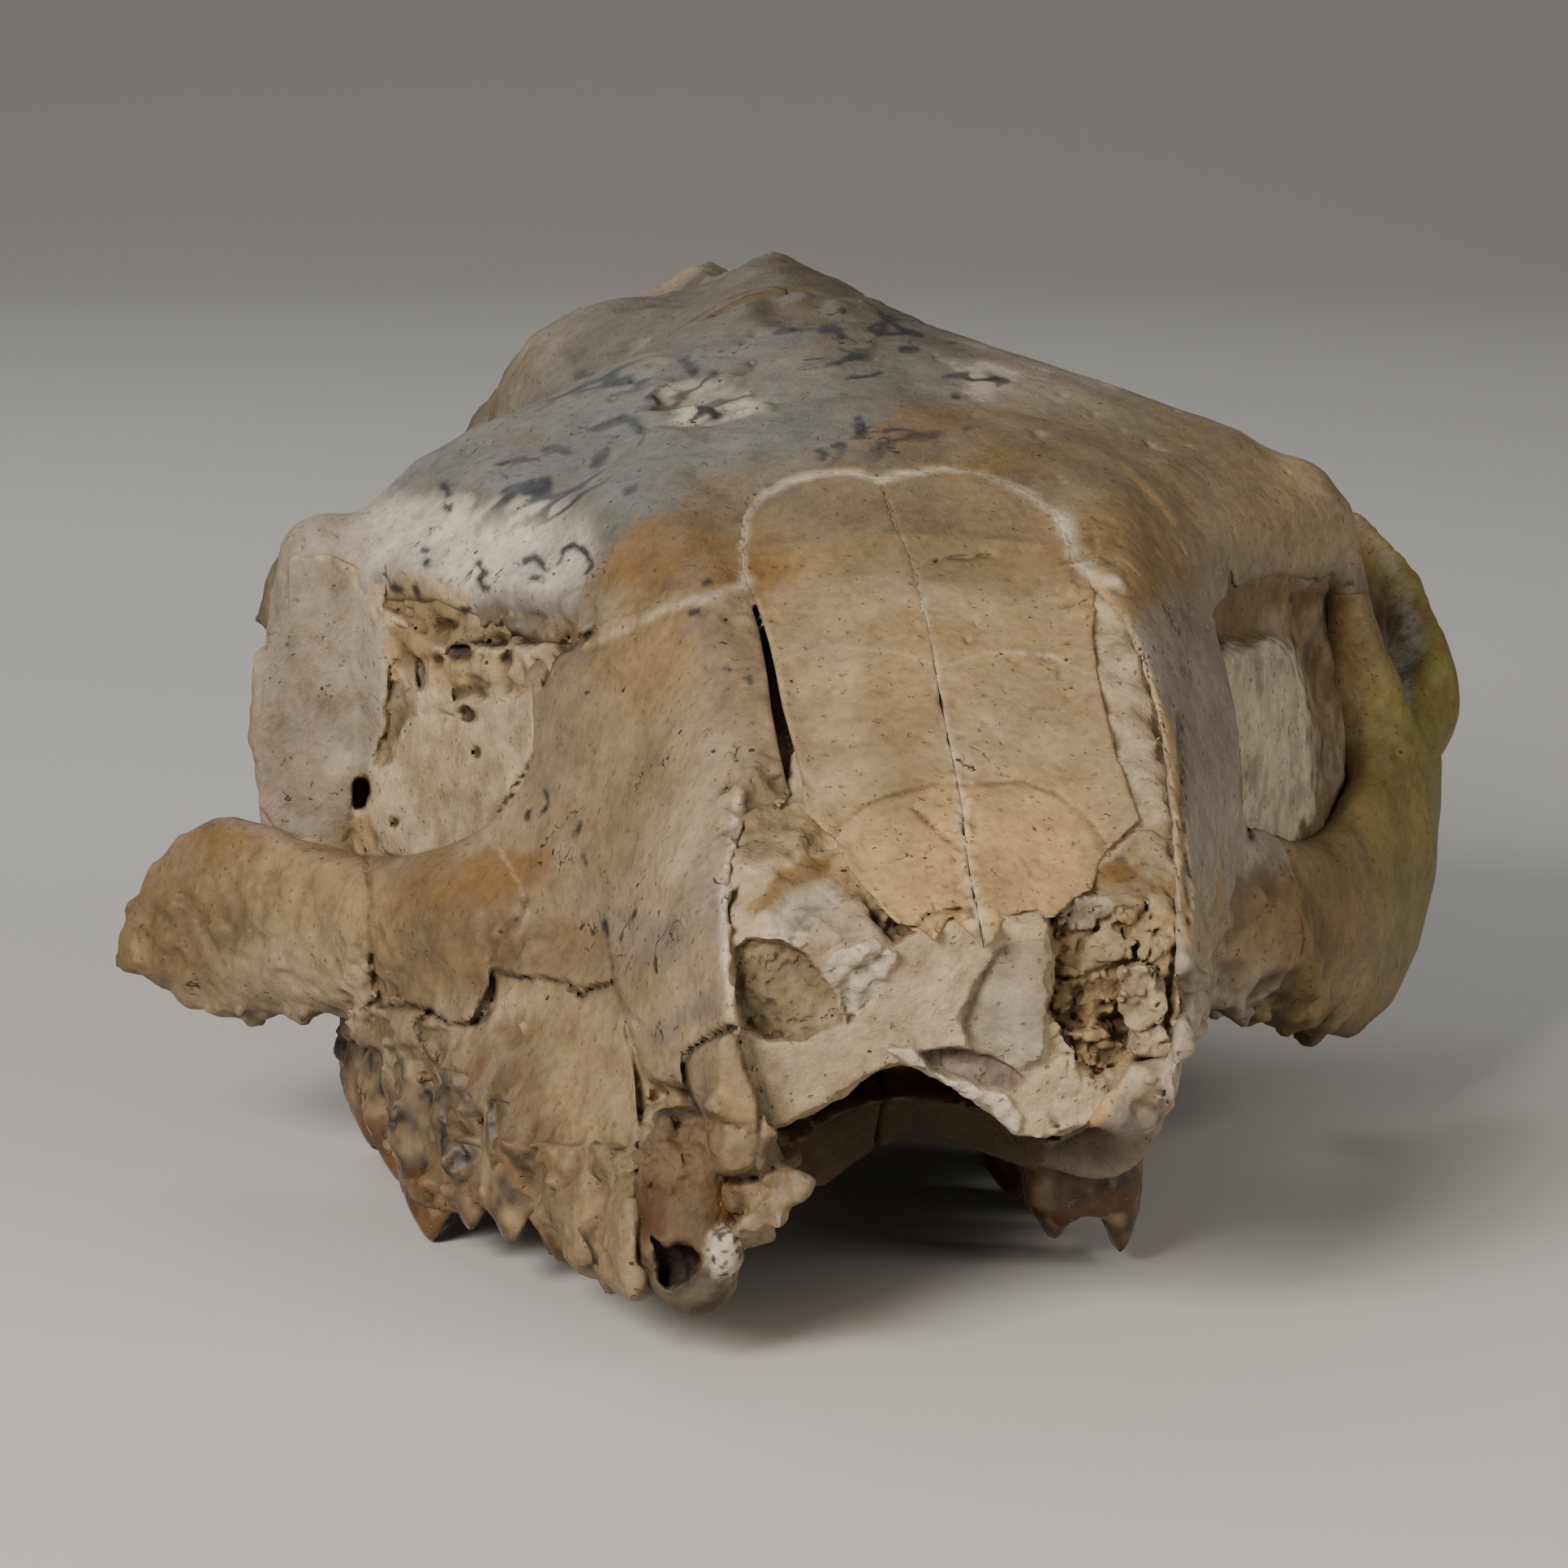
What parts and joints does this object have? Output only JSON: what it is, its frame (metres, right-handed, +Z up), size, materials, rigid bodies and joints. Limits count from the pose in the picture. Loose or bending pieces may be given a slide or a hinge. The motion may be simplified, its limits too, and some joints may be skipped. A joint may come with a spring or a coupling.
{
  "type": "fossil oreodont skull",
  "caption": "Fossil skull of an extinct hoofed browser without its lower jaw, with a broken snout, sediment-filled eye sockets and nose, a broken cheek arch and ridged cheek teeth.",
  "frame": {"origin": "middle of the skull's bounding box at ground level", "axes": "+Z up, -Y towards the broken snout, +X towards the skull's own left side"},
  "size_m": [0.1326, 0.1784, 0.0815],
  "materials": {
    "bone": "mineralised bone, tan to blue-grey, satin, with fine dark pits and cracks",
    "sediment": "cream siltstone, matt and grainy",
    "crusted_tooth": "tooth under a pale mineral crust, matt with small glossy amber patches",
    "enamel": "fossil tooth enamel, brown and glossy"
  },
  "bodies": {
    "root": {"cranium": "bone", "nasal_matrix": "sediment", "right_orbit_matrix": "sediment", "left_orbit_matrix": "sediment", "right_canine": "crusted_tooth", "right_premolar_1": "crusted_tooth", "right_premolar_2": "crusted_tooth", "right_premolar_3": "enamel", "right_premolar_4": "enamel", "right_molar_1": "enamel", "right_molar_2": "enamel", "right_molar_3": "enamel", "left_premolar_3": "enamel", "left_premolar_4": "enamel", "left_molar_1": "enamel", "left_molar_2": "enamel", "left_molar_3": "enamel"}
  },
  "joints": []
}
